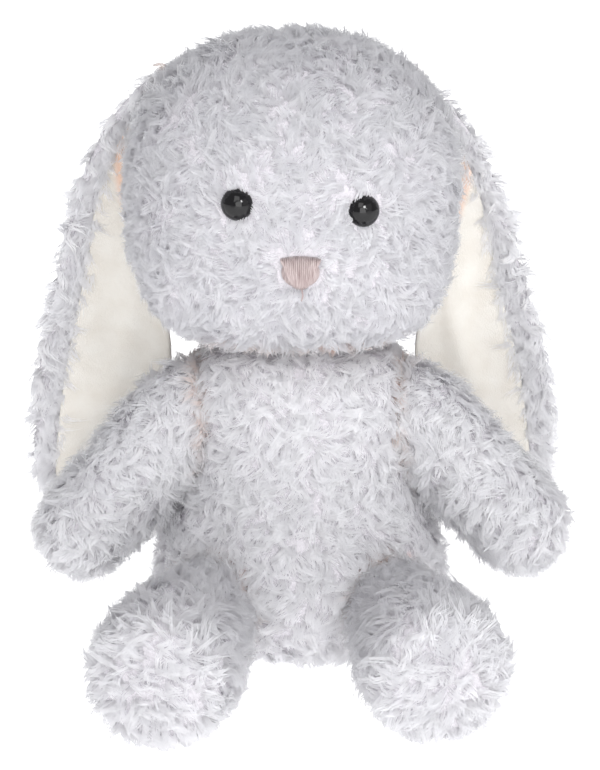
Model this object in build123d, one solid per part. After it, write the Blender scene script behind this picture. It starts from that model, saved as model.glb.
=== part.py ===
"""Sitting plush bunny with hanging ears, as separate sewn covers, fillings and trims.

Millimetres, +Z up. The toy faces -Y, so its own left side is at +X. The origin is the
centre of the flat seat that it rests on.

Each fur cover is a closed shell, as thick as the knitted backing and the pile lying on
it. A limb is sewn on at a round root that turns in a round hollow of the torso, so it
swings without cutting into its neighbour.
"""

import os
from math import asin, cos, radians, sin, sqrt

from build123d import *

# ---- Driving dimensions -----------------------------------------------------------

# Fabrics and gaps
COVER = 6.0  # backing and laid pile of the fur fabric
LINING = 2.0  # short-pile velour inside the ears
GAP = 0.5  # free space round a root in its hollow

# Torso: a pear turned about Z, with a round neck
SEAT_RADIUS = 44.0
HIP_RADIUS, HIP_HEIGHT = 58.0, 28.0
BELLY_RADIUS, BELLY_HEIGHT = 51.0, 56.0
CHEST_RADIUS, CHEST_HEIGHT = 42.0, 80.0
NECK_CENTRE = (0.0, 0.0, 100.0)
NECK_RADIUS = 40.0

# Seat weight: a small bag of pellets
BAG_CENTRE = (0.0, 6.0, 20.0)
BAG_RADIUS, BAG_HALF_HEIGHT = 30.0, 11.0
BAG_FABRIC = 0.8

# Head: an oval with round ends, turned about the line from side to side
HEAD_CENTRE = (-3.0, -8.0, 196.0)
HEAD_HALF_WIDTH, HEAD_RADIUS = 67.5, 61.0
HEAD_END_RADIUS = 53.5
HEAD_END_ANGLE = 37.0  # degrees of each end's arc

# Eyes: moulded caps on a stem with a lock washer
EYE_RADIUS, EYE_HEIGHT = 6.3, 5.4
EYE_RIM = 0.8
EYE_SINK = 2.8  # how far the cap's rim lies under the cover's surface
STEM_RADIUS, STEM_LENGTH = 2.2, 12.0
WASHER_RADIUS, WASHER_THICK = 7.0, 1.4
WASHER_GAP = 1.4  # from the cover's curved inside to the middle of the flat washer
RIGHT_EYE_XZ = (-24.5, 202.6)
LEFT_EYE_XZ = (25.0, 199.6)

# Nose: a satin-stitched pad
NOSE_XZ = (0.2, 176.0)
NOSE_WIDTH, NOSE_HEIGHT = 16.4, 13.2
NOSE_PROUD, NOSE_SINK = 1.6, 2.4

# Ears: flat panels, drawn for the right ear from the front, that lean back as they hang.
# Outline points are measured from the pivot: outwards from the head, and upwards.
EAR_PIVOT = (-57.0, 14.0, 226.0)
EAR_LEAN = 9.0  # degrees
EAR_ROOT_RADIUS = 8.0
EAR_INNER_EDGE = [(6.0, -7.0), (11.0, -24.0), (11.0, -44.0), (5.0, -72.0), (0.0, -100.0),
                  (1.0, -134.0), (10.0, -172.0)]
EAR_TIP = (33.0, -194.0)
EAR_OUTER_EDGE = [(52.0, -179.0), (58.0, -151.0), (55.0, -120.0), (47.0, -84.0),
                  (37.0, -48.0), (27.0, -20.0), (14.0, 1.0), (3.0, 8.0)]
EAR_HEM = 7.0  # how far the fur shows outside the lining along the outer edge

# Arms: root ball, paw ball
SHOULDER = (46.0, -9.0, 104.0)
ARM_ROOT_RADIUS = 18.0
ARM_HOLLOW_RADIUS = 28.0
RIGHT_PAW, LEFT_PAW = (-89.0, -22.0, 56.0), (92.0, -20.0, 55.0)
PAW_RADIUS = 20.5

# Legs: root ball, foot ball, flat sole
HIP = (38.0, -45.0, 29.0)
LEG_ROOT_RADIUS = 20.0
LEG_HOLLOW_RADIUS = 24.0
RIGHT_FOOT, LEFT_FOOT = (-53.0, -107.0, 28.0), (53.0, -101.0, 28.0)
FOOT_RADIUS = 30.5
SOLE_DISTANCE = 18.0  # from the foot's centre forward to the sole

# Tail
TAIL_CENTRE = (0.0, 62.0, 36.0)
TAIL_RADIUS = 17.0
TAIL_COVER = 5.0

BIG = 400.0


# ---- Shapes -----------------------------------------------------------------------


def ball(centre, radius):
    return Pos(*centre) * Sphere(radius)


def oval_curve(half_x, half_y, first, last, steps=6):
    """A smooth curve along an oval between two angles, square to its axes at its ends."""
    angles = [radians(first + (last - first) * i / steps) for i in range(steps + 1)]
    points = [(half_x * cos(a), half_y * sin(a)) for a in angles]
    ends = [(-half_x * sin(a), half_y * cos(a)) for a in (angles[0], angles[-1])]
    return Spline(*points, tangents=ends)


def turned_oval(radius, half_length):
    """An oval turned about the line through its two ends, which lies along Y."""
    curve = oval_curve(radius, half_length, -90, 90)
    return revolve(make_face([curve, Line(curve @ 1, curve @ 0)]), Axis.Y)


def torso(shrink=0.0):
    """The pear-shaped torso, made smaller all round by shrink."""
    neck = CenterArc((0, NECK_CENTRE[2]), NECK_RADIUS - shrink, 0, 90)
    seat = Line((0, shrink), (SEAT_RADIUS - shrink, shrink))
    side = Spline(
        seat @ 1,
        (HIP_RADIUS - shrink, HIP_HEIGHT),
        (BELLY_RADIUS - shrink, BELLY_HEIGHT),
        (CHEST_RADIUS - shrink, CHEST_HEIGHT),
        neck @ 0,
        tangents=[(1, 0.5), (0, 1)],
    )
    axis = Line(neck @ 1, seat @ 0)
    return revolve(Plane.XZ * make_face([seat, side, neck, axis]), Axis.Z)


def head(shrink=0.0):
    """The head, made smaller all round by shrink."""
    end_at = HEAD_HALF_WIDTH - HEAD_END_RADIUS
    end_radius, radius = HEAD_END_RADIUS - shrink, HEAD_RADIUS - shrink
    right = CenterArc((end_at, 0), end_radius, 0, HEAD_END_ANGLE)
    left = CenterArc((-end_at, 0), end_radius, 180 - HEAD_END_ANGLE, HEAD_END_ANGLE)
    crown = Spline(right @ 1, (0, radius), left @ 0, tangents=[right % 1, left % 0])
    half_section = make_face([right, crown, left, Line(left @ 1, right @ 0)])
    return Pos(*HEAD_CENTRE) * revolve(half_section, Axis.X)


def bag(shrink=0.0):
    """The pellet bag, a flattened round."""
    radius, half_height = BAG_RADIUS - shrink, BAG_HALF_HEIGHT - shrink
    return Pos(*BAG_CENTRE) * Rot(90, 0, 0) * turned_oval(radius, half_height)


def tapered_capsule(start, end, start_radius, end_radius):
    """Two balls joined by the cone that touches both."""
    span = Vector(*end) - Vector(*start)
    length = span.length
    lean = radians(90) - asin((start_radius - end_radius) / length)
    back = ThreePointArc(*arc_points(0, start_radius, radians(180), lean))
    front = ThreePointArc(*arc_points(length, end_radius, lean, 0))
    profile = make_face([back, Line(back @ 1, front @ 0), front, Line(front @ 1, back @ 0)])
    level = Vector(0, 0, 1).cross(span)
    return Plane(origin=start, x_dir=span, z_dir=level) * revolve(profile, Axis.X)


def arc_points(centre, radius, first, last):
    """Start, middle and end of an arc about a point on the X axis."""
    angles = (first, (first + last) / 2, last)
    return [(centre + radius * cos(a), radius * sin(a)) for a in angles]


def mirrored(point):
    return (-point[0], *point[1:])


def head_face(x, z, sink=0.0):
    """The plane that touches the front of the head, sunk a little below the surface."""
    cx, cy, cz = HEAD_CENTRE
    across, up = (x - cx) / HEAD_HALF_WIDTH, (z - cz) / HEAD_RADIUS
    ahead = -sqrt(1 - across**2 - up**2)
    outward = Vector(across / HEAD_HALF_WIDTH, ahead / HEAD_RADIUS, up / HEAD_RADIUS)
    outward = outward.normalized()
    touch = Vector(x, cy + HEAD_RADIUS * ahead, z)
    rightward = Vector(-outward.Y, outward.X, 0)
    return Plane(origin=touch - outward * sink, x_dir=rightward, z_dir=outward)


def cut(shape, cutters):
    """The shape with each cutter taken away in turn."""
    for cutter in cutters:
        shape = shape - cutter
    return shape


def add(shapes):
    """All the shapes fused into one."""
    whole = shapes[0]
    for shape in shapes[1:]:
        whole = whole + shape
    return whole


# ---- Eyes and nose ----------------------------------------------------------------


def stub(radius, low, high):
    """A round bar along Z between two heights."""
    return Pos(0, 0, (low + high) / 2) * Cylinder(radius, high - low)


def eye_cap():
    """A domed cap with a thin rim, and the stem behind it."""
    rim = Polyline((0, 0), (EYE_RADIUS, 0), (EYE_RADIUS, EYE_RIM))
    dome = Pos(0, EYE_RIM) * oval_curve(EYE_RADIUS, EYE_HEIGHT, 0, 90)
    axis = Line((0, EYE_RIM + EYE_HEIGHT), (0, 0))
    cap = revolve(make_face([*rim.edges(), *dome.edges(), axis]), Axis.Y)
    return Rot(90, 0, 0) * cap + stub(STEM_RADIUS, -STEM_LENGTH, 0.1)


def washer():
    """The lock washer's disc, pressed up behind the cover."""
    front = EYE_SINK - COVER - WASHER_GAP
    return stub(WASHER_RADIUS, front - WASHER_THICK, front)


def washer_room():
    """The room that the washer takes in the filling, open towards the cover."""
    back = EYE_SINK - COVER - WASHER_GAP - WASHER_THICK - GAP
    return stub(WASHER_RADIUS + GAP, back, 0)


def nose_outline():
    """A shield with a nearly flat top and a round point, about its own middle."""
    half, high = NOSE_WIDTH / 2, NOSE_HEIGHT / 2
    left, right, foot = (-half, 0.35 * high), (half, 0.35 * high), (0, -high)
    top = Spline(left, (0, high), right, tangents=[(0.1, 1), (0.1, -1)])
    right_side = Spline(right, foot, tangents=[(-0.1, -1), (-1, 0)])
    left_side = Spline(foot, left, tangents=[(-1, 0), (-0.1, 1)])
    return make_face([top, right_side, left_side])


def nose_pad():
    return head_face(*NOSE_XZ, NOSE_SINK) * extrude(nose_outline(), NOSE_SINK + NOSE_PROUD)


# ---- Ears -------------------------------------------------------------------------


def ear_place():
    """The right ear's plane: X outwards from the head, Y up along the ear, Z forwards."""
    lean = radians(EAR_LEAN)
    return Plane(origin=EAR_PIVOT, x_dir=(-1, 0, 0), z_dir=(0, cos(lean), sin(lean)))


def ear_panel():
    """The whole ear, with the round root it is sewn in by."""
    edge = Spline(*EAR_INNER_EDGE, EAR_TIP, *EAR_OUTER_EDGE)
    blade = make_face([edge, Line(edge @ 1, edge @ 0)])
    return blade + Circle(EAR_ROOT_RADIUS)


def lining_panel():
    """The velour panel, inside the fur's rolled hem."""
    x, y = EAR_TIP
    outer = [(px - EAR_HEM, py) for px, py in EAR_OUTER_EDGE[:-2]]
    edge = Spline(*EAR_INNER_EDGE[1:], (x - EAR_HEM / 2, y + EAR_HEM), *outer)
    return make_face([edge, Line(edge @ 1, edge @ 0)])


def about_head(shape):
    """The shape's mirror in the head's middle plane."""
    return mirror(shape, Plane.YZ.offset(HEAD_CENTRE[0]))


# ---- Limbs ------------------------------------------------------------------------


def arm(root, paw, shrink=0.0):
    return tapered_capsule(root, paw, ARM_ROOT_RADIUS - shrink, PAW_RADIUS - shrink)


def leg(hip, foot, shrink=0.0):
    """A leg with a flat sole, lying flat on the ground."""
    whole = tapered_capsule(hip, foot, LEG_ROOT_RADIUS - shrink, FOOT_RADIUS - shrink)
    ahead = (Vector(*foot) - Vector(*hip)).normalized()
    sole = Plane(origin=Vector(*foot) + ahead * (SOLE_DISTANCE - shrink), z_dir=ahead)
    front_cut = sole * Pos(0, 0, BIG / 2) * Box(BIG, BIG, BIG)
    ground_cut = Pos(0, 0, shrink - BIG / 2) * Box(BIG, BIG, BIG)
    return whole - front_cut - ground_cut


# ---- The pieces -------------------------------------------------------------------


def torso_pieces():
    outer, inner = torso(), torso(COVER)
    hollows = add(
        [ball(p, ARM_HOLLOW_RADIUS) for p in (SHOULDER, mirrored(SHOULDER))]
        + [ball(p, LEG_HOLLOW_RADIUS) for p in (HIP, mirrored(HIP))]
    )
    tail, tail_inside = (ball(TAIL_CENTRE, TAIL_RADIUS - t) for t in (0, TAIL_COVER))
    return {
        "torso_cover": outer - inner - hollows,
        "torso_filling": inner - hollows - bag(),
        "pellet_bag": bag() - bag(BAG_FABRIC),
        "pellets": bag(BAG_FABRIC),
        "tail_cover": tail - tail_inside - outer,
        "tail_filling": tail_inside - outer,
    }


def head_pieces():
    slot = ear_place() * stub(EAR_ROOT_RADIUS + GAP, -LINING - GAP, COVER + GAP)
    openings = [ball(NECK_CENTRE, NECK_RADIUS + GAP), slot, about_head(slot)]
    cover = cut(head() - head(COVER), [*openings, nose_pad()])
    filling = cut(head(COVER), openings)
    pieces = {}
    for side, xz in {"right": RIGHT_EYE_XZ, "left": LEFT_EYE_XZ}.items():
        place = head_face(*xz, EYE_SINK)
        hollow = place * stub(EYE_RADIUS + GAP, 0, 2 * EYE_RADIUS)
        stem_hole = place * stub(STEM_RADIUS, -STEM_LENGTH, 1)
        cover = cut(cover, [hollow, stem_hole])
        filling = cut(filling, [place * washer_room(), stem_hole])
        pieces[f"{side}_eye"] = place * eye_cap()
        pieces[f"{side}_eye_washer"] = place * washer() - stem_hole
    pieces["head_cover"] = cover
    pieces["head_filling"] = filling
    pieces["nose_embroidery"] = nose_pad()
    return pieces


def ear_pieces():
    fur = ear_place() * extrude(ear_panel(), COVER)
    lining = ear_place() * extrude(lining_panel(), -LINING)
    return {
        "right_ear_fur": fur,
        "right_ear_lining": lining,
        "left_ear_fur": about_head(fur),
        "left_ear_lining": about_head(lining),
    }


def limb_pieces():
    limbs = {
        "right_arm": (arm, mirrored(SHOULDER), RIGHT_PAW),
        "left_arm": (arm, SHOULDER, LEFT_PAW),
        "right_leg": (leg, mirrored(HIP), RIGHT_FOOT),
        "left_leg": (leg, HIP, LEFT_FOOT),
    }
    pieces = {}
    for name, (make, root, end) in limbs.items():
        filling = make(root, end, COVER)
        pieces[f"{name}_cover"] = make(root, end) - filling
        pieces[f"{name}_filling"] = filling
    return pieces


def main():
    os.makedirs("parts", exist_ok=True)
    for pieces in (torso_pieces(), head_pieces(), ear_pieces(), limb_pieces()):
        for name, shape in pieces.items():
            export_step(shape, f"parts/{name}.step")


main()
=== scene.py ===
from math import cos, pi, radians, sin, tau

import bmesh
import bpy
import numpy as np
from mathutils import Matrix, Vector


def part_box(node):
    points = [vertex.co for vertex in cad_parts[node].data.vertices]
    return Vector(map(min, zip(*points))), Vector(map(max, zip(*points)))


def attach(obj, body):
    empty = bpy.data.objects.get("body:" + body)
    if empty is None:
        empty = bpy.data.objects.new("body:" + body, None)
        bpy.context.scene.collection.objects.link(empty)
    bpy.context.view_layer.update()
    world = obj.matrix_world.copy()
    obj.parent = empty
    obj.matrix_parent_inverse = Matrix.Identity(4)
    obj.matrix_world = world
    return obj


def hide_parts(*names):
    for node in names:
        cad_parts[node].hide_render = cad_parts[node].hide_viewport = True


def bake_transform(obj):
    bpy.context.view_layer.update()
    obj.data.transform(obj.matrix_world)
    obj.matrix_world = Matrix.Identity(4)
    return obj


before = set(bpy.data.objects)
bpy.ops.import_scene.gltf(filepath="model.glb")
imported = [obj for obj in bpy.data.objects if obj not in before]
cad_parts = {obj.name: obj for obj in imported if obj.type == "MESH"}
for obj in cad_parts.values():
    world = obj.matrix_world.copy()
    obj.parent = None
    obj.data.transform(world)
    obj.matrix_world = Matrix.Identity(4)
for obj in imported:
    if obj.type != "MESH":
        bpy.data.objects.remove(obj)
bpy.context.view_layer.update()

# ---- Camera ------------------------------------------------------------------------
# A long lens a little above the toy, looking at its chest.

MM = 0.001
SIGHT_HEIGHT = radians(17.5)
SIGHT_DISTANCE = 0.82
AIM = Vector((0.0, -0.020, 0.1166))
SEEN_HEIGHT = 0.3190  # metres of height that the camera takes in at the aim
SENSOR_MM = 24.0

camera_data = bpy.data.cameras.new("camera")
camera_data.sensor_fit = "VERTICAL"
camera_data.sensor_height = SENSOR_MM
camera_data.lens = SENSOR_MM * SIGHT_DISTANCE / SEEN_HEIGHT
camera = bpy.data.objects.new("camera", camera_data)
towards_camera = Vector((0.0, -cos(SIGHT_HEIGHT), sin(SIGHT_HEIGHT)))
camera.location = AIM + towards_camera * SIGHT_DISTANCE
camera.rotation_euler = (-towards_camera).to_track_quat("-Z", "Y").to_euler()
bpy.context.scene.collection.objects.link(camera)
bpy.context.scene.camera = camera

# ---- Floor and light ---------------------------------------------------------------
# A wide light table of opal acrylic, lit evenly from beneath, in a white room under five
# large soft boxes and a small one, so the toy stands with no shadow on a white ground.

FLOOR_HALF = 6.0
bpy.context.scene.view_settings.view_transform = "Standard"


def linear(hex_colour):
    """An sRGB hex colour as linear red, green, blue and alpha."""
    parts = [int(hex_colour[i:i + 2], 16) / 255 for i in (0, 2, 4)]
    return (*[p / 12.92 if p <= 0.04045 else ((p + 0.055) / 1.055) ** 2.4 for p in parts], 1.0)


def add_node(tree, kind, inputs=(), **settings):
    """A node with its settings; an input that is another node's socket becomes a link."""
    made = tree.nodes.new(kind)
    for name, value in settings.items():
        setattr(made, name, value)
    for name, value in dict(inputs).items():
        if isinstance(value, bpy.types.NodeSocket):
            tree.links.new(value, made.inputs[name])
        else:
            made.inputs[name].default_value = value
    return made


def start_material(name):
    """An empty material and its node tree."""
    material = bpy.data.materials.new(name)
    material.use_nodes = True
    material.node_tree.nodes.clear()
    return material, material.node_tree


def finish_material(tree, shader):
    """Joins the last shader to the material's output."""
    add_node(tree, "ShaderNodeOutputMaterial", {"Surface": shader.outputs[0]})


def object_from(name, bm, smooth=True, materials=()):
    """A finished mesh object, at the origin, from a bmesh in millimetres."""
    bmesh.ops.scale(bm, vec=(MM, MM, MM), verts=bm.verts)
    for face in bm.faces:
        face.smooth = smooth
    mesh = bpy.data.meshes.new(name)
    bm.to_mesh(mesh)
    bm.free()
    for material in materials:
        mesh.materials.append(material)
    made = bpy.data.objects.new(name, mesh)
    bpy.context.scene.collection.objects.link(made)
    return made


# Opal acrylic over lamps: a matt sheet that glows evenly, with a faint satin finish.
opal, tree = start_material("opal_acrylic_light_table")
place = add_node(tree, "ShaderNodeTexCoord")
satin = add_node(tree, "ShaderNodeTexNoise", {"Vector": place.outputs["Object"], "Scale": 40.0})
tint = add_node(tree, "ShaderNodeValToRGB", {"Fac": satin.outputs["Fac"]})
tint.color_ramp.elements[0].color = linear("E0E0E1")
tint.color_ramp.elements[1].color = linear("E6E6E6")
finish_material(tree, add_node(tree, "ShaderNodeBsdfPrincipled", {
    "Base Color": tint.outputs["Color"], "Roughness": 0.6, "Specular IOR Level": 0.1,
    "Emission Color": (1.0, 1.0, 1.0, 1.0), "Emission Strength": 0.95}))

floor_bm = bmesh.new()
bmesh.ops.create_grid(floor_bm, x_segments=1, y_segments=1, size=FLOOR_HALF / MM)
floor = object_from("floor", floor_bm, False, [opal])

room = bpy.data.worlds.new("white_room")
room.use_nodes = True
room.node_tree.nodes["Background"].inputs["Color"].default_value = (0.98, 0.985, 1.0, 1.0)
room.node_tree.nodes["Background"].inputs["Strength"].default_value = 0.5
bpy.context.scene.world = room

SOFT_BOXES = [  # name, place, size, power
    ("key_box", (-0.25, -1.15, 1.35), 0.9, 5.5),
    ("fill_box", (1.15, -1.05, 0.75), 1.1, 1.8),
    ("top_box", (0.1, 0.45, 1.6), 1.2, 2.5),
    ("front_box", (0.1, -1.7, 0.5), 0.9, 7.5),
    ("back_box", (-0.6, 1.5, 1.0), 1.0, 4.5),
    ("small_box", (0.36, -0.98, 0.72), 0.22, 4.0),
]
for name, spot, size, power in SOFT_BOXES:
    lamp = bpy.data.lights.new(name, "AREA")
    lamp.size = size
    lamp.energy = power
    box = bpy.data.objects.new(name, lamp)
    box.location = spot
    box.rotation_euler = (AIM - Vector(spot)).to_track_quat("-Z", "Y").to_euler()
    bpy.context.scene.collection.objects.link(box)

# ---- Torso -------------------------------------------------------------------------
# A pear of long-pile fur fabric, sewn inside out, turned and stuffed, flat where it
# sits. The skin is the knitted backing; the pile stands on it as curled locks.

TORSO_PROFILE = [  # radius, height
    (0, 1.6), (20, 1.6), (34, 2.0), (44, 5.0), (51, 11), (54.3, 20), (55, 29), (53.2, 41),
    (50.2, 54), (47, 66), (44.6, 78), (43.6, 90), (43.6, 101), (42.2, 112), (38.5, 122),
    (30, 131), (16, 137), (0, 139),
]
TORSO_WIDTH = 1.1  # how much wider than deep the torso is
SHOULDER, HIP = Vector((46, -9, 104)), Vector((38, -45, 29))
PAWS = {"right": Vector((-89, -22, 57)), "left": Vector((92, -20, 56))}
FEET = {"right": Vector((-53, -107, 28)), "left": Vector((52.5, -101, 28))}
HEAD_CENTRE, HEAD_HALF = Vector((-3, -8, 197.5)), Vector((65, 58.2, 60.5))
SIDES = {"right": -1, "left": 1}
ARM_RADII, LEG_RADII = (16, 17.5), (17, 24.5)  # at the seam and at the tip
HEAD_GAP_SCALE = 58  # turns the share of the way out of the head into millimetres
SEAM_SHADE_REACH = 5.0  # how far from another part the painted seam shade reaches
SEAM_BITE = 1.5  # how far inside another part the pile still starts


def turned(profile, steps):
    """A closed bmesh, turned about Z from a profile of (radius, height) points."""
    bm = bmesh.new()
    corners = [bm.verts.new((radius, 0, height)) for radius, height in profile]
    edges = [bm.edges.new(pair) for pair in zip(corners, corners[1:])]
    bmesh.ops.spin(bm, geom=corners + edges, cent=(0, 0, 0), axis=(0, 0, 1), angle=tau,
                   steps=steps, use_merge=True)
    bmesh.ops.remove_doubles(bm, verts=bm.verts, dist=0.01)
    bmesh.ops.subdivide_edges(bm, edges=bm.edges, cuts=1, smooth=1.0, use_grid_fill=True)
    bmesh.ops.recalc_face_normals(bm, faces=bm.faces)
    return bm


def lumps(points, size, seed):
    """A smooth uneven value from -1 to 1 at each point, with humps of about this size."""
    draw = np.random.default_rng(seed)
    total = np.zeros(len(points))
    for _ in range(7):
        run = draw.normal(size=3)
        run *= tau / (2.2 * size) / np.linalg.norm(run) * draw.uniform(0.6, 1.5)
        total += np.sin(points @ run + draw.uniform(0, tau))
    return total / 3.2


def plump(bm, amount, size, seed):
    """Pushes the skin in and out a little, as loose filling does."""
    bm.normal_update()
    points = np.array([v.co[:] for v in bm.verts])
    for vert, push in zip(bm.verts, lumps(points, size, seed)):
        vert.co += vert.normal * float(push) * amount


def off_torso(points):
    """How far each point is outside the torso's skin, in millimetres, from the side."""
    radii, heights = zip(*TORSO_PROFILE[3:])
    across = np.hypot(points[:, 0] / TORSO_WIDTH, points[:, 1])
    wall = np.interp(points[:, 2], heights, radii)
    return np.where(points[:, 2] > heights[-1], points[:, 2] - heights[-1], across - wall)


def off_limb(points, root, tip, radii):
    """How far each point is outside a limb's skin, which has these radii at its ends."""
    root, tip = np.array(root), np.array(tip)
    run = tip - root
    share = np.clip(((points - root) @ run) / (run @ run), 0, 1)
    nearest = root + share[:, None] * run
    return np.linalg.norm(points - nearest, axis=1) - (
        radii[0] + share * (radii[1] - radii[0]))


def off_head(points):
    """How far each point is outside the head's skin, roughly."""
    inside = (points - np.array(HEAD_CENTRE)) / np.array(HEAD_HALF)
    return (np.linalg.norm(inside, axis=1) - 1) * HEAD_GAP_SCALE


def mirrored(point, side):
    """The same point on the toy's right or left side."""
    return Vector((abs(point.x) * SIDES[side], point.y, point.z))


def off_limbs(points):
    """How far each point is outside the nearest arm or leg."""
    gaps = [off_limb(points, mirrored(SHOULDER, s), PAWS[s], ARM_RADII) for s in SIDES]
    gaps += [off_limb(points, mirrored(HIP, s), FEET[s], LEG_RADII) for s in SIDES]
    return np.min(gaps, axis=0)


def torso_seams(points):
    """How far each point is from what is sewn to the torso."""
    return np.minimum(off_limbs(points), off_head(points))


def mark_seam_shade(skin, gap_of):
    """Records on the skin where it runs into another part, as painted peach shade along the seam.
    """
    points = corner_points(skin) / MM
    mark = skin.data.attributes.new("seam_shade", "FLOAT", "POINT")
    shown = np.clip(1 - gap_of(points) / SEAM_SHADE_REACH, 0, 1)
    mark.data.foreach_set("value", shown.astype(np.float32))


def corner_points(piece):
    """The corners of a mesh, in metres."""
    flat = np.empty(len(piece.data.vertices) * 3, np.float32)
    piece.data.vertices.foreach_get("co", flat)
    return flat.reshape(-1, 3).astype(float)


# Knitted polyester backing: off-white under the pile, darkened to grey as painted shade for the
# pile's depth, and painted peach shade where a seam pulls the pile apart. The knit is drawn at
# 1.2 mm a stitch.
backing, tree = start_material("knitted_polyester_backing")
place = add_node(tree, "ShaderNodeTexCoord")
seam_shade_mark = add_node(tree, "ShaderNodeAttribute", attribute_name="seam_shade")
knit = add_node(tree, "ShaderNodeTexVoronoi", {"Vector": place.outputs["Object"], "Scale": 830.0})
# Painted shade: grey for the depth under the pile, peach beside a seam.
shaded_ground = add_node(tree, "ShaderNodeMix", {"Factor": seam_shade_mark.outputs["Fac"]}, data_type="RGBA")
shaded_ground.inputs["A"].default_value = linear("C9C6CB")
shaded_ground.inputs["B"].default_value = linear("D9B3A1")
raised = add_node(tree, "ShaderNodeBump", {
    "Height": knit.outputs["Distance"], "Strength": 0.5, "Distance": 0.0005})
finish_material(tree, add_node(tree, "ShaderNodeBsdfPrincipled", {
    "Base Color": shaded_ground.outputs["Result"], "Roughness": 0.95,
    "Specular IOR Level": 0.2, "Normal": raised.outputs["Normal"]}))

# Curled polyester pile: matt white with a cool cast, fine enough that light comes through
# it, with painted shade a little darker at the root, and painted warm shade beside a seam.
# Peach: painted shade along the seams between parts.
SEAM_SHADE_PEACH = "DFBBA5"
pile, tree = start_material("curled_polyester_pile")
height = add_node(tree, "ShaderNodeAttribute", attribute_name="height")
tone_and_shade = add_node(tree, "ShaderNodeAttribute", attribute_name="tone_and_shade")
near_seam_shade = add_node(tree, "ShaderNodeAttribute", attribute_name="seam_shade")
# Painted shade: the pile a little darker towards the root.
root_shade_ramp = add_node(tree, "ShaderNodeValToRGB", {"Fac": height.outputs["Fac"]})
root_shade_ramp.color_ramp.elements[0].color = linear("F6F5F7")
root_shade_ramp.color_ramp.elements[1].color = linear("FAFAFB")
root_shade_ramp.color_ramp.elements[1].position = 0.6
# Each lock's tone darkens it by a share: random tone, plus painted shade from its piece's range.
shaded = add_node(tree, "ShaderNodeMix", {
    "Factor": tone_and_shade.outputs["Fac"], "A": root_shade_ramp.outputs["Color"]}, data_type="RGBA",
    blend_type="MULTIPLY")
shaded.inputs["B"].default_value = linear("E9E9EB")
# Painted peach shade beside a seam.
seam_shaded = add_node(tree, "ShaderNodeMix", {
    "Factor": near_seam_shade.outputs["Fac"], "A": shaded.outputs["Result"]}, data_type="RGBA")
seam_shaded.inputs["B"].default_value = linear(SEAM_SHADE_PEACH)
surface = add_node(tree, "ShaderNodeBsdfPrincipled", {
    "Base Color": seam_shaded.outputs["Result"], "Roughness": 0.9, "Specular IOR Level": 0.12,
    "Sheen Weight": 0.15, "Sheen Roughness": 0.6})
through = add_node(tree, "ShaderNodeBsdfTranslucent", {"Color": seam_shaded.outputs["Result"]})
finish_material(tree, add_node(tree, "ShaderNodeMixShader", {
    "Fac": 0.65, 1: surface.outputs["BSDF"], 2: through.outputs["BSDF"]}))

STRAND_SPANS = 4
LOCK_STRANDS = 12
LOCK_KINDS = 16
LOCK_SIZES, LOCK_RISES = (0.78, 1.15), (0.7, 1.15)  # smallest and largest, as shares
TRIES_PER_LOCK = 14
CELL_GROWTH = 1.04
CELL_HASH = np.array((73856093, 19349663, 83492791))  # large primes, one for each direction
SWIRL, SWIRL_SIZE, JITTER = 0.6, 13, 0.3  # how far the pile strays from its comb
PRESSED_PILE = 0.3  # height of the pile that the toy sits on
SOFTNESS = 0.93  # how far the pile shades as one soft surface, not as single strands


def lock(draw, length, width):
    """A lock: fine strands, side by side at the root, that lean over and curl together.

    Returns its corners, its faces, each corner's share of the way to the tip, and the way
    the lock's rounded surface faces there."""
    start, end = radians(draw.uniform(8, 30)), radians(draw.uniform(80, 125))
    hook = draw.uniform(-0.8, 0.8)
    wave, phase = draw.uniform(0.08, 0.22), draw.uniform(0, tau)
    corners, faces, shares, facings = [], [], [], []
    for number in range(LOCK_STRANDS):
        own = length * draw.uniform(0.72, 1.1)
        beside = (number + draw.random()) / LOCK_STRANDS * 2 - 1
        spread = Vector((draw.uniform(-1.2, 1.2), beside * 2.1, 0))
        turn = end + radians(draw.uniform(-18, 18))
        twist = hook + draw.uniform(-0.22, 0.22)

        def path(share):
            """The strand's middle and its lean, at a share of the way to the tip."""
            lean = start + (turn - start) * share
            ahead = own * (cos(start) - cos(lean)) / (turn - start)
            up = own * (sin(lean) - sin(start)) / (turn - start)
            side = own * (twist * share ** 2 + wave * sin(phase + 5.0 * share) * share)
            return Vector((ahead, side, up - 0.6)) + spread * (1 - 0.6 * share), lean

        bm = bmesh.new()
        bmesh.ops.create_grid(bm, x_segments=1, y_segments=STRAND_SPANS, size=0.5)
        for vert in bm.verts:
            vert.co.x *= 1 - max(0.0, vert.co.y + 0.5) ** 3
        bmesh.ops.remove_doubles(bm, verts=bm.verts, dist=0.001)
        bm.verts.index_update()
        first = len(corners)
        for vert in bm.verts:
            share = vert.co.y + 0.5
            centre, lean = path(share)
            corners.append(centre - Vector((0, vert.co.x * width, 0)))
            shares.append(share)
            facings.append(Vector((-cos(lean), beside * 0.8, sin(lean))).normalized())
        for face in bm.faces:
            faces.append([first + v.index for v in face.verts])
        bm.free()
    return (np.array([c[:] for c in corners]), faces, np.array(shares),
            np.array([f[:] for f in facings]))


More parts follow.
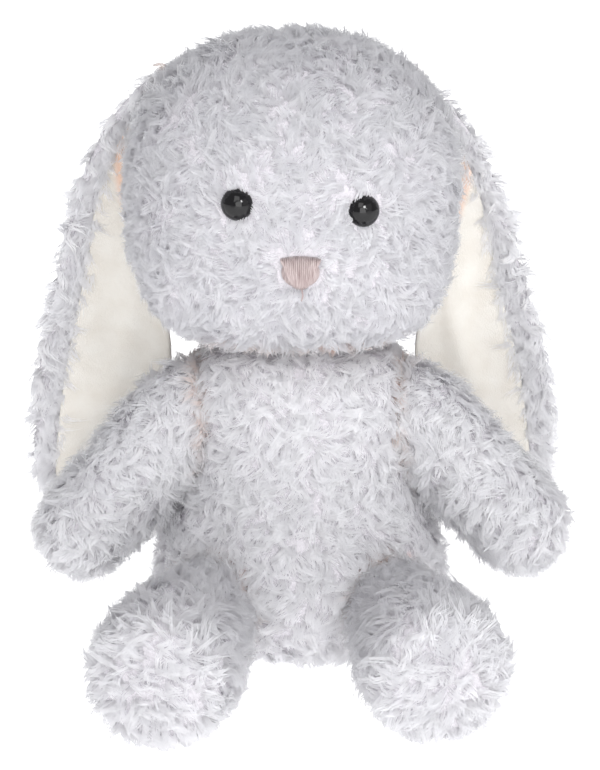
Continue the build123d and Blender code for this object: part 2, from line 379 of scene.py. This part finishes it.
def spots_on(skin, count, draw, cover):
    """Evenly strewn spots on a skin, with the skin's outward direction at each, in mm."""
    mesh = skin.data
    mesh.calc_loop_triangles()
    points = corner_points(skin) / MM
    outward = np.empty(len(mesh.vertices) * 3, np.float32)
    mesh.vertices.foreach_get("normal", outward)
    outward = outward.reshape(-1, 3).astype(float)
    thirds = np.empty(len(mesh.loop_triangles) * 3, np.int32)
    mesh.loop_triangles.foreach_get("vertices", thirds)
    thirds = thirds.reshape(-1, 3)
    a, b, c = (points[thirds[:, i]] for i in range(3))
    areas = np.linalg.norm(np.cross(b - a, c - a), axis=1) / 2
    picked = draw.choice(len(thirds), size=count * TRIES_PER_LOCK, p=areas / areas.sum())
    u, v = draw.random(len(picked)), draw.random(len(picked))
    flip = u + v > 1
    u[flip], v[flip] = 1 - u[flip], 1 - v[flip]
    weights = np.stack([1 - u - v, u, v], axis=1)
    spots = np.einsum("ij,ijk->ik", weights, points[thirds[picked]])
    ways = np.einsum("ij,ijk->ik", weights, outward[thirds[picked]])
    ways /= np.linalg.norm(ways, axis=1)[:, None]
    wanted = draw.random(len(spots)) < cover(spots, ways)
    spots, ways = spots[wanted], ways[wanted]
    shown = areas.sum() * wanted.mean()
    cell = (shown / count) ** 0.5
    kept = np.arange(len(spots))
    while len(kept) > count:
        cell *= CELL_GROWTH
        cells = np.floor(spots / cell).astype(np.int64)
        keys = np.bitwise_xor.reduce(cells * CELL_HASH, axis=1)
        kept = np.sort(np.unique(keys, return_index=True)[1])
    return spots[kept], ways[kept]


def lay_pile(name, skin, body, count, seed, comb, cover, seam_shade, tone_and_shade_range, length=10.5, width=0.5):
    """Covers a skin with curled locks, joined into one piece that rides with a body."""
    draw = np.random.default_rng(seed)
    spots, ways = spots_on(skin, count, draw, cover)
    kinds = [lock(draw, length, width) for _ in range(LOCK_KINDS)]
    swirl = np.stack([lumps(spots, SWIRL_SIZE, seed + i) for i in range(3)], axis=1)
    jitter = draw.normal(size=spots.shape) * JITTER
    run = comb(spots, ways) + swirl * SWIRL + jitter
    run -= ways * np.sum(run * ways, axis=1)[:, None]
    run /= np.linalg.norm(run, axis=1)[:, None]
    side = np.cross(ways, run)
    scale = draw.uniform(*LOCK_SIZES, len(spots))
    rise = draw.uniform(*LOCK_RISES, len(spots))
    kind_of = draw.integers(0, LOCK_KINDS, len(spots))
    # Random tone within the piece's range; the ranges differ from piece to piece as painted
    # shade, darkest on the head.
    tones_and_shade = tone_and_shade_range[0] + (tone_and_shade_range[1] - tone_and_shade_range[0]) * draw.random(len(spots)) ** 1.5
    # Painted warm shade by a seam, on some locks at random, strongest at the root.
    seam_shading = np.clip(1.3 - np.abs(seam_shade(spots)) / 3.2, 0, 1) * draw.random(len(spots))
    all_points, all_faces, sizes, heights, shades, seam_shadings, facings = ([] for _ in range(7))
    offset = 0
    for number, (corners, faces, shares, facing) in enumerate(kinds):
        which = np.nonzero(kind_of == number)[0]
        if not len(which):
            continue
        frames = np.stack([run[which], side[which], ways[which] * rise[which, None]], axis=1)
        placed = np.einsum("kj,nji->nki", corners, frames) * scale[which, None, None]
        placed += spots[which, None, :]
        all_points.append(placed.reshape(-1, 3))
        soft = np.einsum("kj,nji->nki", facing, frames) * (1 - SOFTNESS)
        facings.append((soft + ways[which, None, :] * SOFTNESS).reshape(-1, 3))
        flat = np.array([i for face in faces for i in face])
        starts = offset + np.arange(len(which)) * len(corners)
        all_faces.append((starts[:, None] + flat[None, :]).ravel())
        sizes.append(np.tile([len(face) for face in faces], len(which)))
        heights.append(np.tile(shares, len(which)))
        shades.append(np.repeat(tones_and_shade[which], len(corners)))
        seam_shadings.append((seam_shading[which, None] * (1 - 0.75 * shares[None, :])).ravel())
        offset += len(which) * len(corners)
    points, loops = np.concatenate(all_points), np.concatenate(all_faces)
    points[:, 2] = np.maximum(points[:, 2], PRESSED_PILE)
    points *= MM
    sizes = np.concatenate(sizes)
    mesh = bpy.data.meshes.new(name)
    mesh.vertices.add(len(points))
    mesh.vertices.foreach_set("co", points.astype(np.float32).ravel())
    mesh.loops.add(len(loops))
    mesh.loops.foreach_set("vertex_index", loops.astype(np.int32))
    mesh.polygons.add(len(sizes))
    mesh.polygons.foreach_set("loop_start", (np.cumsum(sizes) - sizes).astype(np.int32))
    mesh.polygons.foreach_set("use_smooth", np.ones(len(sizes), bool))
    mesh.update(calc_edges=True)
    for key, values in (("height", heights), ("tone_and_shade", shades), ("seam_shade", seam_shadings)):
        attribute = mesh.attributes.new(key, "FLOAT", "POINT")
        attribute.data.foreach_set("value", np.concatenate(values).astype(np.float32))
    facings = np.concatenate(facings)
    facings /= np.linalg.norm(facings, axis=1)[:, None]
    mesh.normals_split_custom_set_from_vertices(facings.tolist())
    mesh.materials.append(pile)
    made = bpy.data.objects.new(name, mesh)
    bpy.context.scene.collection.objects.link(made)
    if body:
        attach(made, body)
    return made


def open_ground(gap, fade=3.0):
    """Full cover away from another part, none inside it, and sparse along the seam."""
    return np.clip((gap + SEAM_BITE) / fade, 0, 1)


torso_bm = turned(TORSO_PROFILE, 36)
bmesh.ops.scale(torso_bm, vec=(TORSO_WIDTH, 1, 1), verts=torso_bm.verts)
plump(torso_bm, 0.8, 26, 3)
torso_skin = object_from("torso_skin", torso_bm, True, [backing])
mark_seam_shade(torso_skin, torso_seams)
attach(torso_skin, "torso")
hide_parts("torso_cover")


UNDERSIDE, UNDERSIDE_SHARE = 2.2, 0.12  # below this height most of the pile is pressed flat
FRONT_ENDS = 4  # the y where the torso's front pile ends


def hang(points, ways):
    """Pile that falls down the surface."""
    return np.tile([0.0, 0.0, -0.7], (len(points), 1))


def torso_cover(front):
    """How much of the front or the back of the torso the pile covers at each point."""
    def cover(points, ways):
        shown = open_ground(off_limbs(points)) * open_ground(off_head(points), 5.0)
        half = points[:, 1] < FRONT_ENDS if front else points[:, 1] >= FRONT_ENDS
        raised = points[:, 2] > UNDERSIDE
        return shown * half * np.where(raised, 1.0, UNDERSIDE_SHARE)
    return cover


lay_pile("torso_pile_front", torso_skin, "torso", 2350, 11, hang, torso_cover(True), torso_seams,
         tone_and_shade_range=(0.0, 0.25))
lay_pile("torso_pile_back", torso_skin, "torso", 1760, 12, hang, torso_cover(False), torso_seams,
         tone_and_shade_range=(0.0, 0.4))

# ---- Tail --------------------------------------------------------------------------
# A round puff of the same fur, gathered round a little filling and sewn on behind.

TAIL_CENTRE, TAIL_SKIN_RADIUS = Vector((0, 62, 36)), 13.2
tail_bm = bmesh.new()
bmesh.ops.create_icosphere(tail_bm, subdivisions=4, radius=TAIL_SKIN_RADIUS,
                           matrix=Matrix.Translation(TAIL_CENTRE))
plump(tail_bm, 0.4, 9, 5)
tail_skin = object_from("tail_skin", tail_bm, True, [backing])
mark_seam_shade(tail_skin, off_torso)
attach(tail_skin, "torso")
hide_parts("tail_cover")
lay_pile("tail_pile", tail_skin, "torso", 420, 21, hang,
         lambda p, w: open_ground(off_torso(p)), off_torso, tone_and_shade_range=(0.0, 0.4), length=11)

# ---- Legs --------------------------------------------------------------------------
# Short stuffed legs, sewn to the front of the torso, with round puffy soles that face
# forwards. They lie flat on what the toy sits on.

LEG_PROFILE = [
    (0, -16), (7, -15), (13, -10.5), (16.6, -3), (18.6, 8), (21.2, 21), (24.0, 34),
    (26.0, 45), (26.8, 55), (26.5, 64), (25.4, 70.5), (23.2, 75.4), (18.4, 77.5),
    (10, 78.3), (0, 78.6),
]
SOLE_BEYOND_FOOT = 14.8
FLOOR_REST = 1.4
SOLE_AHEAD = 20  # from the foot's middle to where the sole's pile parts


def aimed(root, tip):
    """The turn and move that take a part made along Z to its place along root to tip."""
    way = (tip - root).to_track_quat("Z", "Y").to_matrix().to_4x4()
    return Matrix.Translation(root) @ way


def away_from(centre):
    """Pile that leans away from a point."""
    def comb(points, ways):
        out = points - np.array(centre)
        return out / np.linalg.norm(out, axis=1)[:, None] * 0.6 + np.array([0, 0, -0.35])
    return comb


for side, seed in (("right", 31), ("left", 37)):
    hip, foot = mirrored(HIP, side), FEET[side]
    leg_bm = turned(LEG_PROFILE, 28)
    reach = ((foot - hip).length + SOLE_BEYOND_FOOT) / LEG_PROFILE[-1][1]
    bmesh.ops.scale(leg_bm, vec=(1, 1, reach), verts=leg_bm.verts)
    plump(leg_bm, 0.4, 18, seed)
    bmesh.ops.transform(leg_bm, matrix=aimed(hip, foot), verts=leg_bm.verts)
    for vert in leg_bm.verts:
        vert.co.z = max(vert.co.z, FLOOR_REST)
    leg_skin = object_from(f"{side}_leg_skin", leg_bm, True, [backing])
    mark_seam_shade(leg_skin, off_torso)
    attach(leg_skin, f"{side}_leg")
    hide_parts(f"{side}_leg_cover")
    sole = foot + (foot - hip).normalized() * SOLE_AHEAD
    lay_pile(f"{side}_leg_pile", leg_skin, f"{side}_leg", 1760, seed, away_from(sole),
             lambda p, w: open_ground(off_torso(p)) * np.where(p[:, 2] > 2.0, 1.0, 0.15),
             off_torso, tone_and_shade_range=(0.1, 0.45), length=9.5)

# ---- Arms --------------------------------------------------------------------------
# Straight stuffed sleeves, sewn on at the shoulder, that end in a plain round paw.

ARM_PROFILE = [
    (0, -17), (8, -15.4), (13.5, -11), (17.2, -3), (18.8, 8), (19.2, 22), (18.9, 38),
    (18.4, 52), (18.4, 63), (17.4, 73), (13.6, 80.5), (7.2, 84.5), (0, 85.6),
]
for side, seed in (("right", 43), ("left", 47)):
    shoulder, paw = mirrored(SHOULDER, side), PAWS[side]
    arm_bm = turned(ARM_PROFILE, 26)
    plump(arm_bm, 0.8, 17, seed)
    bmesh.ops.transform(arm_bm, matrix=aimed(shoulder, paw), verts=arm_bm.verts)
    arm_skin = object_from(f"{side}_arm_skin", arm_bm, True, [backing])
    mark_seam_shade(arm_skin, off_torso)
    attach(arm_skin, f"{side}_arm")
    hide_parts(f"{side}_arm_cover")
    lay_pile(f"{side}_arm_pile", arm_skin, f"{side}_arm", 1760, seed, hang,
             lambda p, w: open_ground(np.minimum(off_torso(p), off_head(p) + 2)),
             off_torso, tone_and_shade_range=(0.0, 0.35))

# ---- Head --------------------------------------------------------------------------
# A wide stuffed head, round above and full in the cheeks, sewn to the torso at a
# gathered neck.

EYE_SPOTS = {
    "right": (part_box("right_eye")[0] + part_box("right_eye")[1]) / 2 / MM,
    "left": (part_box("left_eye")[0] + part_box("left_eye")[1]) / 2 / MM,
}
nose_low, nose_high = (Vector(c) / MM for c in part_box("nose_embroidery"))
NOSE_SPOT = (nose_low + nose_high) / 2

EAR_ROOT_TOP, EAR_ROOT_FOOT = Vector((47, 8, 242)), Vector((53, 8, 208))
EAR_ROOT_RADII = (2, 2)
EYE_RIM, NOSE_RIM = 6.4, 8.0
FACE_ENDS, BACK_STARTS = -30, 14  # the y where the head's three stretches of pile meet
CLEARING, CLEARING_SIZE = 3.5, 11  # how hard the pile parts round the trims, and how far


def beside_head(point, way):
    """A point at one ear, from its distance off the middle of the head."""
    return Vector((HEAD_CENTRE.x + way * point.x, point.y, point.z))


def off_ear_roots(points):
    """How far each point is from the seam that an ear is sewn into, in the head."""
    gaps = []
    for way in SIDES.values():
        ends = [beside_head(end, way) for end in (EAR_ROOT_TOP, EAR_ROOT_FOOT)]
        gaps.append(off_limb(points, *ends, EAR_ROOT_RADII))
    return np.min(gaps, axis=0)


def head_seams(points):
    """How far each point is from what is sewn to the head."""
    return np.minimum(off_torso(points), off_ear_roots(points))


head_bm = bmesh.new()
bmesh.ops.create_uvsphere(head_bm, u_segments=72, v_segments=44, radius=1)
for vert in head_bm.verts:
    x, y, z = vert.co
    fuller = min(1.0, max(0.0, -z / 0.8))
    power = 2.3 + 0.95 * fuller ** 2 * (3 - 2 * fuller)
    vert.co *= (abs(x) ** power + abs(y) ** power + abs(z) ** power) ** (-1 / power)
    vert.co.x *= HEAD_HALF.x
    vert.co.y *= HEAD_HALF.y
    vert.co.z *= HEAD_HALF.z
    vert.co += HEAD_CENTRE
plump(head_bm, 0.4, 30, 8)
head_skin = object_from("head_skin", head_bm, True, [backing])
mark_seam_shade(head_skin, head_seams)
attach(head_skin, "head")
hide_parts("head_cover")


def off_trims(points):
    """How far each point is from the rim of the nearest eye or of the nose."""
    gaps = [np.linalg.norm(points - np.array(spot), axis=1) - EYE_RIM
            for spot in EYE_SPOTS.values()]
    from_nose = (points - np.array(NOSE_SPOT)) * [0.9, 1, 1.15]
    gaps.append(np.linalg.norm(from_nose, axis=1) - NOSE_RIM)
    return np.min(gaps, axis=0)


def face_comb(points, ways):
    """Pile that runs out and down from the nose, and clear of the eyes."""
    out = points - np.array(NOSE_SPOT)
    out /= np.linalg.norm(out, axis=1)[:, None]
    run = out * 0.5 + np.array([0, 0, -0.35])
    for spot in (*EYE_SPOTS.values(), NOSE_SPOT):
        clear = points - np.array(spot)
        gap = np.linalg.norm(clear, axis=1)
        run += clear / gap[:, None] * (CLEARING * np.exp(-((gap / CLEARING_SIZE) ** 2)))[:, None]
    return run


def head_cover(part):
    """How much of the head's face, sides or back the pile covers at each point."""
    def cover(points, ways):
        shown = open_ground(off_torso(points), 5.0) * np.clip(off_trims(points) + 0.6, 0, 1)
        y = points[:, 1]
        zone = {"face": y < FACE_ENDS, "sides": (y >= FACE_ENDS) & (y < BACK_STARTS),
                "back": y >= BACK_STARTS}[part]
        return shown * zone
    return cover


# Painted shade: the head's pile takes the darkest tone range.
lay_pile("head_pile_face", head_skin, "head", 2370, 51, face_comb, head_cover("face"),
         head_seams, tone_and_shade_range=(0.3, 0.7), length=8.5, width=0.45)
lay_pile("head_pile_sides", head_skin, "head", 2240, 52, face_comb, head_cover("sides"),
         head_seams, tone_and_shade_range=(0.3, 0.7), length=9.5)
lay_pile("head_pile_back", head_skin, "head", 1620, 53, hang, head_cover("back"), head_seams,
         tone_and_shade_range=(0.2, 0.6))

# ---- Ears --------------------------------------------------------------------------
# Each ear is a long leaf of fur fabric lined with cream velour, turned so that the fur
# rolls round onto the front along the outer edge, and sewn into the head's side seam.

# Stations from root to tip: share of the way, inner x z, outer x z, depth behind the face
EAR_STATIONS = np.array([
    (0.00, -48, 212, -38, 246, 6),
    (0.12, -59, 202, -57, 242, 9),
    (0.25, -62, 180, -78, 221, 13),
    (0.40, -61, 151, -93, 190, 20),
    (0.55, -57, 122, -103, 154, 27),
    (0.70, -60, 92, -113, 116, 33),
    (0.82, -69, 66, -118, 80, 38),
    (0.92, -80, 44, -118, 51, 41),
    (1.00, -94, 28, -108, 28, 43),
], float)
EAR_WIDTHS = {"right": (1.0, 1.0), "left": (0.84, 0.99)}  # at the root and at the tip
EAR_CUP = 6.5
EAR_ROWS, EAR_COLUMNS = 64, 24
FUR_BACK, FUR_THICK, VELOUR_THICK = 1.7, 1.6, 1.0
LINING_ACROSS, LINING_FOOT = (-0.015, 0.8), 0.955  # shares of the ear that the lining takes
LINING_TOPS = {"right": 0.16, "left": 0.09}
LINING_SHADE_LINE, LINING_SHADE_EDGE = 10.2, 1.7  # where the velour's painted seam shade lies off the head, and how sharply it ends
FOLD_DEPTHS = {"right": 2.1, "left": 4.2}
FOLD_WIDTH, FOLD_LENGTH = 0.11, 0.2  # shares of the ear's width and length
RIPPLE = 1.3
EDGE_OVERLAP = 1.0  # how far the outer fur reaches in over the velour's edge
BARE_BEHIND, BACK_SHARE = 38, 0.6  # the back's bare strip at the inner edge, and its cover


def station_at(share):
    """The ear's edges and depth at a share of its length, on a smooth curve."""
    at = EAR_STATIONS[:, 0]
    i = int(np.clip(np.searchsorted(at, share) - 1, 0, len(at) - 2))
    before, after = max(i - 1, 0), min(i + 2, len(at) - 1)
    low, high = EAR_STATIONS[i, 1:], EAR_STATIONS[i + 1, 1:]
    span = at[i + 1] - at[i]
    t = (share - at[i]) / span
    start = (high - EAR_STATIONS[before, 1:]) / (at[i + 1] - at[before]) * span
    end = (EAR_STATIONS[after, 1:] - low) / (at[after] - at[i]) * span
    return ((2 * t ** 3 - 3 * t ** 2 + 1) * low + (t ** 3 - 2 * t ** 2 + t) * start
            + (3 * t ** 2 - 2 * t ** 3) * high + (t ** 3 - t ** 2) * end)


def ear_point(side, across, along, behind):
    """A point of the ear, by its shares across and along, and how far behind the middle."""
    inner_x, inner_z, outer_x, outer_z, depth = station_at(along)
    across_out = across * np.interp(along, (0.1, 0.7), EAR_WIDTHS[side])
    x = inner_x + (outer_x - inner_x) * across_out
    z = inner_z + (outer_z - inner_z) * across_out
    cup = EAR_CUP * (2 * across - 1) ** 2 * sin(pi * min(1.0, along * 1.15)) ** 0.6
    fold_at = 0.30 + 0.45 * (along - 0.45)
    fold = (FOLD_DEPTHS[side] * np.exp(-((across - fold_at) / FOLD_WIDTH) ** 2)
            * np.exp(-((along - 0.55) / FOLD_LENGTH) ** 2))
    ripple = RIPPLE * sin(9 * along + 5 * across) * along
    y = depth - cup - fold + ripple + behind
    return Vector((x if side == "right" else 2 * HEAD_CENTRE.x - x, y, z))


def ear_leaf(side, spans, behind, thick):
    """One layer of an ear: a grid laid along the leaf and given its thickness."""
    (first, last), (top, tip) = spans
    bm = bmesh.new()
    bmesh.ops.create_grid(bm, x_segments=EAR_COLUMNS, y_segments=EAR_ROWS, size=0.5)
    for vert in bm.verts:
        across = first + (last - first) * (vert.co.x + 0.5)
        along = top + (tip - top) * (vert.co.y + 0.5)
        vert.co = ear_point(side, across, along, behind)
    bmesh.ops.recalc_face_normals(bm, faces=bm.faces)
    if sum(f.normal.y for f in bm.faces) < 0:
        bmesh.ops.reverse_faces(bm, faces=bm.faces)
    bmesh.ops.solidify(bm, geom=bm.faces[:], thickness=-thick)
    bmesh.ops.recalc_face_normals(bm, faces=bm.faces)
    return bm


# Cut-pile velour: warm cream, soft and matt, with a bright bloom at grazing angles and a
# faint mottle where the 1 mm pile has been stroked different ways, and painted peach shade
# near the head.
velour, tree = start_material("cream_cut_pile_velour")
place = add_node(tree, "ShaderNodeTexCoord")
stroked = add_node(tree, "ShaderNodeTexNoise", {
    "Vector": place.outputs["Object"], "Scale": 90.0, "Detail": 3.0})
nap = add_node(tree, "ShaderNodeTexNoise", {
    "Vector": place.outputs["Object"], "Scale": 1500.0, "Detail": 2.0})
tint = add_node(tree, "ShaderNodeValToRGB", {"Fac": stroked.outputs["Fac"]})
tint.color_ramp.elements[0].color = linear("D3CEC6")
tint.color_ramp.elements[1].color = linear("DBD8D2")
tint.color_ramp.elements[0].position = 0.3
tint.color_ramp.elements[1].position = 0.7
# Painted peach shade where the velour lies near the head.
near_seam_shade = add_node(tree, "ShaderNodeAttribute", attribute_name="seam_shade")
seam_shaded = add_node(tree, "ShaderNodeMix", {
    "Factor": near_seam_shade.outputs["Fac"], "A": tint.outputs["Color"]}, data_type="RGBA")
seam_shaded.inputs["B"].default_value = linear(SEAM_SHADE_PEACH)
raised = add_node(tree, "ShaderNodeBump", {
    "Height": nap.outputs["Fac"], "Strength": 0.35, "Distance": 0.0006})
finish_material(tree, add_node(tree, "ShaderNodeBsdfPrincipled", {
    "Base Color": seam_shaded.outputs["Result"], "Roughness": 0.85, "Specular IOR Level": 0.2,
    "Sheen Weight": 0.5, "Sheen Roughness": 0.4, "Normal": raised.outputs["Normal"]}))


def lining_edges(side, heights):
    """The x of the lining's outer edge at each height."""
    rows = [ear_point(side, LINING_ACROSS[1], a, 0)
            for a in np.linspace(LINING_TOPS[side], LINING_FOOT, 30)]
    rows.sort(key=lambda p: p.z)
    return np.interp(heights, [p.z for p in rows], [p.x for p in rows])


for side, seed in (("right", 61), ("left", 67)):
    way = SIDES[side]
    fur_leaf = object_from(f"{side}_ear_fabric",
                           ear_leaf(side, ((0, 1), (0, 1)), FUR_BACK, FUR_THICK), True, [backing])
    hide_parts(f"{side}_ear_fur")
    lining = object_from(f"{side}_ear_velour",
                         ear_leaf(side, (LINING_ACROSS, (LINING_TOPS[side], LINING_FOOT)), 0,
                                  VELOUR_THICK), True, [velour])
    # Painted peach shade on the velour, along a line off the head.
    mark_seam_shade(lining, lambda p: np.abs(off_head(p) - LINING_SHADE_LINE) * LINING_SHADE_EDGE)
    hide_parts(f"{side}_ear_lining")

    def ear_cover(points, ways):
        """All of the fabric but what lies behind the velour's face or against the head."""
        edge = lining_edges(side, points[:, 2])
        outside = (points[:, 0] - edge) * way > -EDGE_OVERLAP
        below = points[:, 2] < ear_point(side, 0.5, LINING_FOOT, 0).z
        above = points[:, 2] > ear_point(side, LINING_ACROSS[1], LINING_TOPS[side], 0).z
        front = ways[:, 1] < 0.1
        on_lining = front & ~outside & ~below & ~above
        behind_inner = ~front & ((points[:, 0] - edge) * way < -BARE_BEHIND)
        shown = np.where(on_lining | behind_inner, 0.0, np.where(front, 1.0, BACK_SHARE))
        return shown * open_ground(off_head(points), 4)

    def ear_comb(points, ways):
        """Pile that falls down the ear and out to its rolled edge."""
        return np.tile([way * 0.35, 0.0, -0.8], (len(points), 1))

    ear_pile = lay_pile(f"{side}_ear_pile", fur_leaf, None, 1860, seed, ear_comb, ear_cover,
                        off_ear_roots, tone_and_shade_range=(0.0, 0.4), length=9.0)
    for piece in (fur_leaf, lining, ear_pile):
        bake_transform(piece)

# ---- Nose --------------------------------------------------------------------------
# Satin stitch over a padded shape: close vertical threads that draw together towards the
# point, and the last thread's end left below.

NOSE_HALF, NOSE_TOP, NOSE_FOOT = 7.4, 6.2, -6.6
THREADS, THREAD_RADIUS, THREAD_CUTS = 19, 0.42, 9
END_RADIUS, END_CUTS = 0.34, 6
NOSE_FACE = NOSE_SPOT + Vector((0, -0.6, 0))
PAD_HALF = (NOSE_HALF, 1.9, 6.1)
PAD_BEHIND = Vector((0, 0.4, 0))

# Trilobal polyester embroidery thread: dusty pink with a silky streak along each thread, partly
# thread tone that varies and partly painted sheen.
thread_pink, tree = start_material("polyester_embroidery_thread")
place = add_node(tree, "ShaderNodeTexCoord")
along = add_node(tree, "ShaderNodeMapping", {
    "Vector": place.outputs["Object"], "Scale": (1500.0, 300.0, 260.0)})
# Random tone and painted sheen, streaking along each thread.
tone_and_sheen_streak = add_node(tree, "ShaderNodeTexNoise", {"Vector": along.outputs["Vector"], "Scale": 1.0})
tint = add_node(tree, "ShaderNodeValToRGB", {"Fac": tone_and_sheen_streak.outputs["Fac"]})
tint.color_ramp.elements[0].color = linear("8D7A79")
tint.color_ramp.elements[1].color = linear("BCAEAD")
tint.color_ramp.elements[0].position = 0.25
tint.color_ramp.elements[1].position = 0.75
finish_material(tree, add_node(tree, "ShaderNodeBsdfPrincipled", {
    "Base Color": tint.outputs["Color"], "Roughness": 0.42, "Sheen Weight": 0.2,
    "Anisotropic": 0.4}))


def run_thread(bm, path, radius, cuts):
    """A round thread laid along a path from 0 to 1."""
    made = bmesh.new()
    bmesh.ops.create_cone(made, cap_ends=True, segments=7, radius1=radius, radius2=radius,
                          depth=1, matrix=Matrix.Translation((0, 0, 0.5)))
    for cut in range(1, cuts + 1):
        whole = made.verts[:] + made.edges[:] + made.faces[:]
        bmesh.ops.bisect_plane(made, geom=whole, plane_co=(0, 0, cut / (cuts + 1)),
                               plane_no=(0, 0, 1))
    for vert in made.verts:
        share, aside = vert.co.z, Vector((vert.co.x, vert.co.y, 0))
        ahead = (path(min(share + 0.02, 1)) - path(max(share - 0.02, 0))).normalized()
        outward = Vector((0, -1, 0)) - ahead * ahead.dot(Vector((0, -1, 0)))
        outward.normalize()
        vert.co = path(share) + outward * aside.y + outward.cross(ahead) * aside.x
    spare = bpy.data.meshes.new("spare")
    made.to_mesh(spare)
    made.free()
    bm.from_mesh(spare)
    bpy.data.meshes.remove(spare)


def nose_height(x, z):
    """How far the stitched pad stands out at a point of its face."""
    return 0.5 + 1.9 * max(0, 1 - (x / 9.2) ** 2) ** 0.5 * max(0, 1 - (z / 8.2) ** 2) ** 0.6


nose_bm = bmesh.new()
bmesh.ops.create_uvsphere(nose_bm, u_segments=24, v_segments=14, radius=1)
bmesh.ops.scale(nose_bm, vec=PAD_HALF, verts=nose_bm.verts)
bmesh.ops.translate(nose_bm, vec=NOSE_FACE + PAD_BEHIND, verts=nose_bm.verts)
for number in range(THREADS):
    share_across = (number / (THREADS - 1) - 0.5) * 2

    def stitch(share):
        """One thread's way down the pad, tucked in at both ends."""
        top = NOSE_TOP - 0.9 * share_across ** 2
        foot = NOSE_FOOT * (1 - abs(share_across) ** 2.6) ** 0.5 + 1.6 * share_across ** 4
        z = top + (foot - top) * share
        x = share_across * NOSE_HALF * (1 - 0.34 * share ** 1.8)
        dip = 2.2 * (max(0, 0.1 - share) + max(0, share - 0.9)) / 0.1
        return NOSE_FACE + Vector((x, -nose_height(x, z) + dip, z))

    run_thread(nose_bm, stitch, THREAD_RADIUS, THREAD_CUTS)


def loose_end(share):
    """The last thread's end, which hangs below the pad."""
    return NOSE_FACE + Vector((0.3 + 0.5 * sin(3 * share), -0.8 - 1.7 * sin(pi * share * 0.7),
                               NOSE_FOOT + 0.6 - 4.6 * share))


run_thread(nose_bm, loose_end, END_RADIUS, END_CUTS)
nose = object_from("nose_satin_stitch", nose_bm, True, [thread_pink])
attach(nose, "head")
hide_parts("nose_embroidery")

# ---- Eyes --------------------------------------------------------------------------
# Moulded domes on a stem, held by a lock washer behind the fabric. The frame's own
# domes are kept and given their finish.

# Polished black ABS: a deep even black with one sharp reflection of each lamp.
eye_black, tree = start_material("polished_black_abs")
place = add_node(tree, "ShaderNodeTexCoord")
flow = add_node(tree, "ShaderNodeTexNoise", {"Vector": place.outputs["Object"], "Scale": 300.0})
depth = add_node(tree, "ShaderNodeValToRGB", {"Fac": flow.outputs["Fac"]})
depth.color_ramp.elements[0].color = linear("060507")
depth.color_ramp.elements[1].color = linear("0C0B0E")
finish_material(tree, add_node(tree, "ShaderNodeBsdfPrincipled", {
    "Base Color": depth.outputs["Color"], "Roughness": 0.1, "IOR": 1.54,
    "Specular IOR Level": 0.35}))

# ---- Fillings, pellet bag and washers ----------------------------------------------
# Sealed inside: carded polyester fibre, a cloth bag of pellets and two nylon washers.

INNER_FINISHES = {  # low colour, high colour, grain in mm, roughness
    "carded_polyester_fibre": ("E8E8E6", "F6F6F5", 2.0, 0.95),
    "spunbonded_bag_cloth": ("DEDEDA", "EFEFEC", 0.8, 0.9),
    "moulded_polyethylene_pellets": ("E2E2DE", "F2F2F0", 3.0, 0.45),
    "moulded_nylon_washer": ("E4E4DF", "EEEEEA", 1.5, 0.4),
}
INNER_NODES = {
    "carded_polyester_fibre": [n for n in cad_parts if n.endswith("_filling")],
    "spunbonded_bag_cloth": ["pellet_bag"],
    "moulded_polyethylene_pellets": ["pellets"],
    "moulded_nylon_washer": ["right_eye_washer", "left_eye_washer"],
}


def dress(node_name, material):
    """Gives a CAD node its finish."""
    slots = bpy.data.objects[node_name].data.materials
    slots.clear()
    slots.append(material)


for name, (low, high, grain, roughness) in INNER_FINISHES.items():
    made, tree = start_material(name)
    place = add_node(tree, "ShaderNodeTexCoord")
    fibres = add_node(tree, "ShaderNodeTexNoise", {
        "Vector": place.outputs["Object"], "Scale": 1 / (grain * MM), "Detail": 4.0})
    tint = add_node(tree, "ShaderNodeValToRGB", {"Fac": fibres.outputs["Fac"]})
    tint.color_ramp.elements[0].color = linear(low)
    tint.color_ramp.elements[1].color = linear(high)
    finish_material(tree, add_node(tree, "ShaderNodeBsdfPrincipled", {
        "Base Color": tint.outputs["Color"], "Roughness": roughness}))
    for node_name in INNER_NODES[name]:
        dress(node_name, made)
for node_name in ("right_eye", "left_eye"):
    dress(node_name, eye_black)
